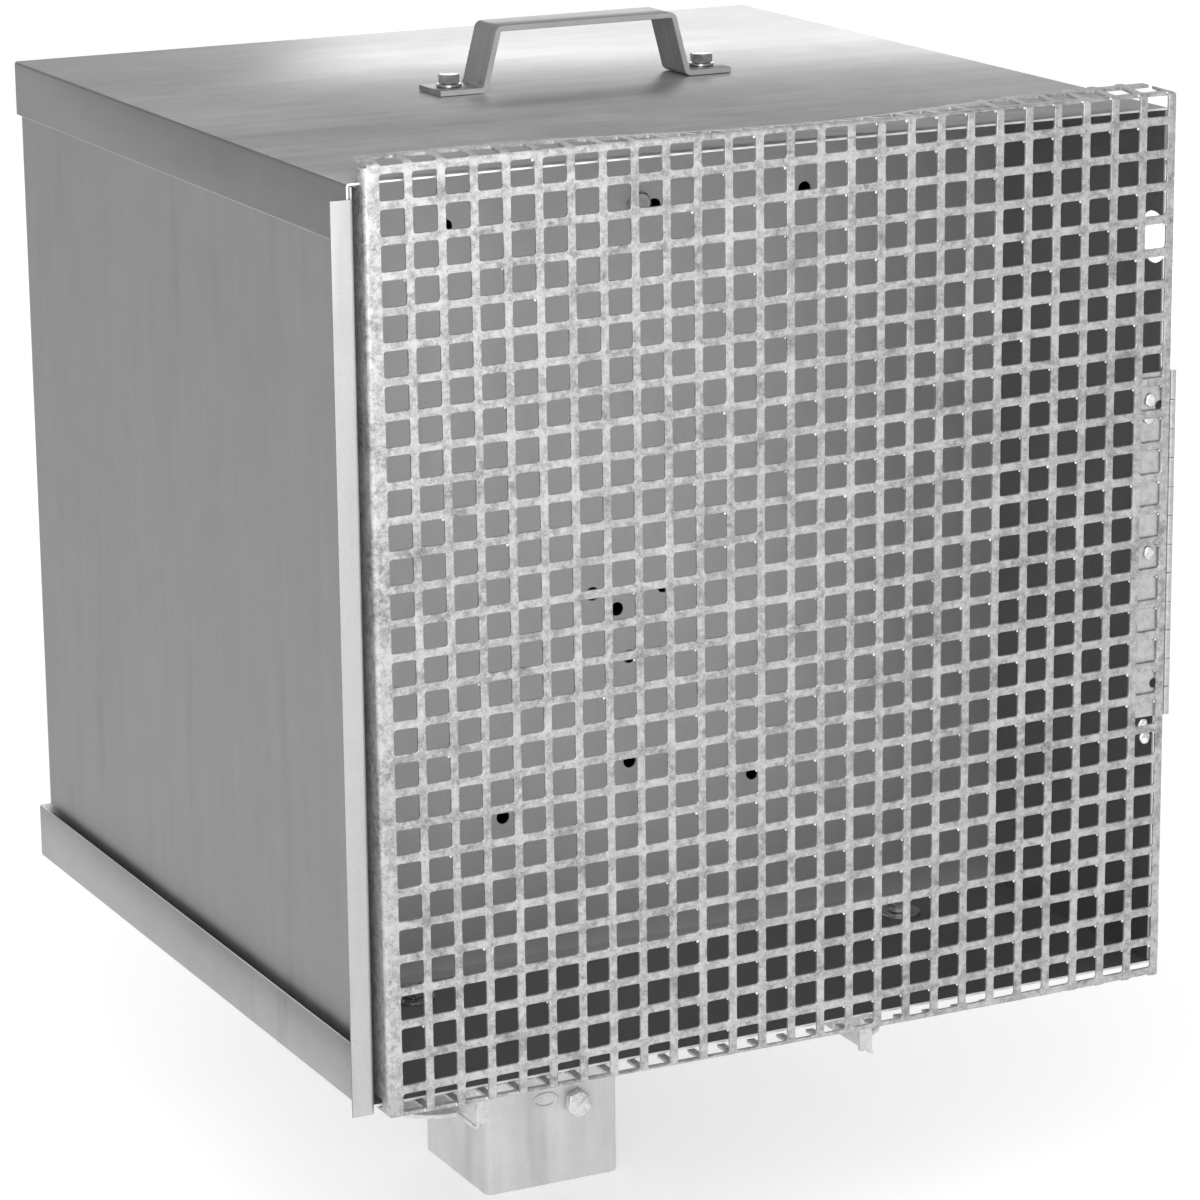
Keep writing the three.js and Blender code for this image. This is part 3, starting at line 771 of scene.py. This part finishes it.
def left_panel():
    """The left wall, whose front edge is folded outwards into a strip with a raw edge."""
    low, high = edges_of("left_side_panel")
    thick = 1.2
    wall_low, strip_high = 214.8, 748.5  # the wall stands on the tray; the strip ends under the door's top
    path = Fold([(high.x, high.y), (high.x, low.y), (low.x, low.y)], 2.6, 8)
    fold_start = path.samples[1][0]
    last = path.stops()[-1]
    bm = grid(path.stops(), [low.z, low.z + 3, wall_low, strip_high - 3, strip_high, high.z],
              lambda s, z: z > wall_low if s < fold_start else z < strip_high)

    def surface(s, z):
        point, normal = path.at(s)
        ragged = 0.35 * abs(noise.noise(Vector((z * 0.35, 0, 0)))) if s > last - 0.1 else 0
        return Vector((point.x + ragged, point.y, z)), Vector((-normal.x, -normal.y, 0))

    obj = piece("left_panel_with_strip", thicken(bm, surface, thick), "cage", "side",
                ["left_side_panel"], sharp=40)
    # faces turned to the front take the paler strip look, the rest the darker side look: painted light on
    # the strip of the same sheet
    obj.data.materials.append(looks["strip"])
    for polygon in obj.data.polygons:
        polygon.material_index = 1 if polygon.normal.y < -0.3 else 0


left_panel()


def handle():
    """A flat bar bent into two feet, two sloping legs and a grip, with rounded bends."""
    low, high = edges_of("carry_handle")
    thick, foot, shoulder = 3.5, 29.5, 62.2
    middle, top = (low.x + high.x) / 2, low.z + thick
    outline = [(low.x, top), (low.x + foot, top), (middle - shoulder, high.z),
               (middle + shoulder, high.z), (high.x - foot, top), (high.x, top)]
    path = Fold(outline, (1.8, 5.0, 5.0, 1.8), 8)
    depth = [low.y, low.y + 0.5, high.y - 0.5, high.y]

    def surface(s, y):
        point, normal = path.at(s)
        return Vector((point.x, y, point.y)), Vector((-normal.x, 0, -normal.y))

    bm = grid(path.stops(), depth)
    inset = bm.verts.layers.float["inset"]
    for vert in bm.verts:
        vert[inset] = 0.3 if vert.co.y in (depth[0], depth[-1]) else 0.0
    obj = piece("bent_handle", thicken(bm, surface, thick), "cage", "handle",
                ["carry_handle"], sharp=40)
    # the bar's narrow front and back faces take the paler strip look: a painted highlight
    obj.data.materials.append(looks["strip"])
    for polygon in obj.data.polygons:
        polygon.material_index = 1 if abs(polygon.normal.y) > 0.5 else 0


handle()


# ---------------------------------------------------------------- underside
def bearer(side, name):
    """A channel under the tray with rounded folds, an out-turned foot whose front corner is rounded off,
    and a narrow lip at the web's front end."""
    low, high = edges_of(name)
    thick, top, foot, setback, lip, corner, bend = 2.5, 50.0, 36.0, 27.0, 9.0, 34.0, 3.4
    web = max(abs(low.x), abs(high.x)) - top
    outline = [(web + foot, low.z), (web - thick, low.z), (web - thick, high.z), (web + top, high.z)]
    path = Fold([(side * x, z) for x, z in outline], bend, 6)
    first_fold = path.samples[1][0]

    def surface(s, y):
        point, normal = path.at(s)
        return Vector((point.x, y, point.y)), Vector((normal.x, 0, normal.y)) * -side

    front = low.y + setback
    bm = grid(path.stops(), [low.y + 0.3, front, high.y], lambda s, y: s > first_fold or y > front)
    for degrees in (15, 35, 55, 75):
        turn = Vector((math.cos(math.radians(degrees)), math.sin(math.radians(degrees))))
        touch = Vector((corner, front + corner)) - corner * turn
        slice_pattern(bm, touch, -turn, lambda c: c.x < first_fold, remove=True)
    body = thicken(bm, surface, thick)
    x0, x1 = sorted((side * (web - lip), side * (web - 0.2)))
    edge = 0.4
    ends = [(low.z + bend, edge), (low.z + bend + edge, 0), (high.z - bend - edge, 0),
            (high.z - bend, edge)]
    loft(body, [[(x0 + e, low.y + e, z), (x1 - e, low.y + e, z), (x1 - e, low.y + thick - e, z),
                 (x0 + e, low.y + thick - e, z)] for z, e in ends])
    piece("bent_" + name, body, "cage", "bearer", [name], sharp=40)


bearer(-1, "left_bearer")
bearer(1, "right_bearer")


def post():
    """A square tube with rounded corners."""
    low, high = edges_of("post_tube")
    side, wall = high.x - low.x, 4.0
    bm = bmesh.new()

    def outer(inset, z):
        return rounded_square(side - 2 * inset, 6.0 - inset, z)

    def inner(inset, z):
        return rounded_square(side - 2 * wall + 2 * inset, 2.5 + inset, z)

    loft(bm, [
        outer(0.5, low.z), outer(0, low.z + 0.5), outer(0, high.z - 0.5), outer(0.5, high.z),
        inner(0.4, high.z), inner(0, high.z - 0.4), inner(0, low.z + 0.4), inner(0.4, low.z),
    ], closed=True)
    piece("square_post", bm, "cage", "post", ["post_tube"], sharp=25)


post()


def post_weld():
    """An oval bead of weld on the post's front face."""
    front = edges_of("post_tube")[0].y
    middle, half_width, half_height, bead = Vector((-5.0, front + 0.2, 61.0)), 8.5, 4.6, 1.5
    steps, sides = 40, 10
    loops = []
    for k in range(steps):
        a = 2 * math.pi * k / steps
        r = bead * (1 + 0.25 * noise.noise(Vector((k * 0.6, 3.1, 0))))
        centre = middle + Vector((half_width * math.cos(a), 0, half_height * math.sin(a)))
        across = Vector((math.cos(a), 0, math.sin(a)))
        loops.append([centre + across * r * math.cos(t) + Vector((0, 1, 0)) * -0.7 * r * math.sin(t)
                      for t in [2 * math.pi * j / sides for j in range(sides)]])
    bm = bmesh.new()
    loft(bm, loops, closed=True)
    piece("post_weld_ring", bm, "cage", "post", sharp=60)


def hinge_welds():
    """Blobs where the hinge's leaf is welded to the door: distance from the pin's axis, and height."""
    low, high = edges_of("hinge_door_leaf")
    axis = high.x - 2.7
    bm = bmesh.new()
    for k, (away, z) in enumerate(((16, 580), (15, 484), (17, 374), (15.5, 366), (17, 569))):
        blob(bm, (axis - away, low.y + 1.0, z), (3.6, 1.1, 4.2), k + 1, 3)
    piece("hinge_weld_blobs", bm, "door", "drip", sharp=80)


post_weld()
hinge_welds()


# ---------------------------------------------------------------- hinge
def knuckles(bm, x, y, spans):
    """Rolled knuckles with softened ends."""
    outside, bore, edge = 2.7, 1.62, 0.3
    for bottom, top in spans:
        profile = [(2.45, bottom), (outside, bottom + edge), (outside, top - edge), (2.45, top),
                   (bore, top), (bore, bottom)]
        loft(bm, [[(px + x, py + y, pz) for px, py, pz in ring(r, z, 24)] for r, z in profile], closed=True)


def box_leaf():
    """The box's leaf, flat on the right wall, with every second knuckle on the pin."""
    pin_low, pin_high = edges_of("hinge_pin")
    x, y = (pin_low.x + pin_high.x) / 2, (pin_low.y + pin_high.y) / 2
    thick, gap = 1.2, 0.3
    tooth, root = 1.9, 3.0  # where a knuckle's tooth starts and where the whole leaf starts, from the pin
    knuckle_count = 12
    pitch = (pin_high.z - pin_low.z + gap) / knuckle_count
    spans = [(pin_low.z + pitch * k, pin_low.z + pitch * (k + 1) - gap) for k in range(1, knuckle_count, 2)]
    stops = sorted({pin_low.z, pin_high.z, *[z for span in spans for z in span]})
    bm = grid([tooth, root, edges_of("hinge_box_leaf")[1].y - y], stops,
              lambda s, z: s > root or any(bottom < z < top for bottom, top in spans))
    outer_face = edges_of("right_side_panel")[1].x + gap + thick
    leaf = thicken(bm, lambda s, z: (Vector((outer_face, y + s, z)), Vector((-1, 0, 0))), thick)
    knuckles(leaf, x, y, spans)
    piece("rolled_box_leaf", leaf, "cage", "hinge", ["hinge_box_leaf"], sharp=35)


box_leaf()

# ---------------------------------------------------------------- CAD nodes that stay
for names, look in (
    (("back_panel", "partition_panel"), "inside"),
    (("right_side_panel",), "wall"),
    (("hinge_door_leaf", "hinge_pin"), "hinge"),
    (("post_top_plate",), "post"),
):
    for name in names:
        nodes[name].data.materials.clear()
        nodes[name].data.materials.append(looks[look])

# ---------------------------------------------------------------- floor, light and camera
scene = bpy.context.scene
FLOOR_REACH, FLOOR_Z = 40.0, -0.0005
WHITE = (1, 1, 1, 1)

floor_mesh = bpy.data.meshes.new("floor")
corner_signs = ((-1, -1), (1, -1), (1, 1), (-1, 1))
floor_mesh.from_pydata([(x * FLOOR_REACH, y * FLOOR_REACH, FLOOR_Z) for x, y in corner_signs], [],
                       [(0, 1, 2, 3)])
floor = bpy.data.objects.new("floor", floor_mesh)
scene.collection.objects.link(floor)
pale_floor = bpy.data.materials.new("pale_floor")
pale_floor.use_nodes = True
paper = pale_floor.node_tree.nodes["Principled BSDF"].inputs
paper["Base Color"].default_value = (0.93, 0.93, 0.93, 1)
paper["Roughness"].default_value = 0.9
paper["Emission Color"].default_value = WHITE
paper["Emission Strength"].default_value = 0.32
floor_mesh.materials.append(pale_floor)

world = bpy.data.worlds.new("studio")
scene.world = world
world.use_nodes = True
backdrop = world.node_tree.nodes["Background"].inputs
backdrop["Color"].default_value = WHITE
backdrop["Strength"].default_value = 0.55


def hang_light(light, direction):
    """Puts a light in the scene, shining along a direction."""
    obj = bpy.data.objects.new(light.name, light)
    obj.rotation_mode = "QUATERNION"
    obj.rotation_quaternion = direction.to_track_quat("-Z", "Y")
    scene.collection.objects.link(obj)
    return obj


def softbox(name, at, target, size, power):
    """A rectangular lamp that the camera doesn't see."""
    light = bpy.data.lights.new(name, "AREA")
    light.shape = "RECTANGLE"
    light.size, light.size_y = size
    light.energy = power
    obj = hang_light(light, Vector(target) - Vector(at))
    obj.visible_camera = False
    obj.location = at


def sun(name, direction, strength, degrees):
    """A distant light as wide as an angle, so its shadows are soft."""
    light = bpy.data.lights.new(name, "SUN")
    light.energy = strength
    light.angle = math.radians(degrees)
    hang_light(light, Vector(direction))


# A broad light from the front left, one box for the side and strip, one for the door's upper left, and one
# behind that the lid mirrors.
sun("key", (0.55, 1.0, -0.75), 1.3, 60)
softbox("front", (-1.5, -2.6, 1.5), (-0.1, -0.3, 0.6), (1.4, 1.4), 24)
softbox("upper_left", (-0.34, -0.85, 0.85), (-0.25, -0.38, 0.66), (0.35, 0.35), 2.8)
softbox("back", (2.6, 3.2, 1.5), (0.1, 0, 0.75), (2.8, 1.1), 17)

# The camera stands at the front left, above the lid, a little out of level.
CAMERA_AT = (-1.2779, -2.6978, 1.1922)
AZIMUTH, ELEVATION, ROLL = math.radians(26.46), math.radians(14.91), math.radians(-0.59)
LENS, SENSOR = 139.1, 36
forward = Vector((math.sin(AZIMUTH) * math.cos(ELEVATION), math.cos(AZIMUTH) * math.cos(ELEVATION),
                  -math.sin(ELEVATION)))
level_right = Vector((math.cos(AZIMUTH), -math.sin(AZIMUTH), 0))
level_down = forward.cross(level_right)
right = level_right * math.cos(ROLL) - level_down * math.sin(ROLL)
down = level_right * math.sin(ROLL) + level_down * math.cos(ROLL)
camera = bpy.data.cameras.new("camera")
camera.sensor_width, camera.lens = SENSOR, LENS
camera.clip_start, camera.clip_end = 0.05, 200
camera_object = bpy.data.objects.new("camera", camera)
camera_object.matrix_world = Matrix((
    (right.x, -down.x, -forward.x, CAMERA_AT[0]),
    (right.y, -down.y, -forward.y, CAMERA_AT[1]),
    (right.z, -down.z, -forward.z, CAMERA_AT[2]),
    (0, 0, 0, 1)))
scene.collection.objects.link(camera_object)
scene.camera = camera_object
scene.view_settings.view_transform = "Standard"
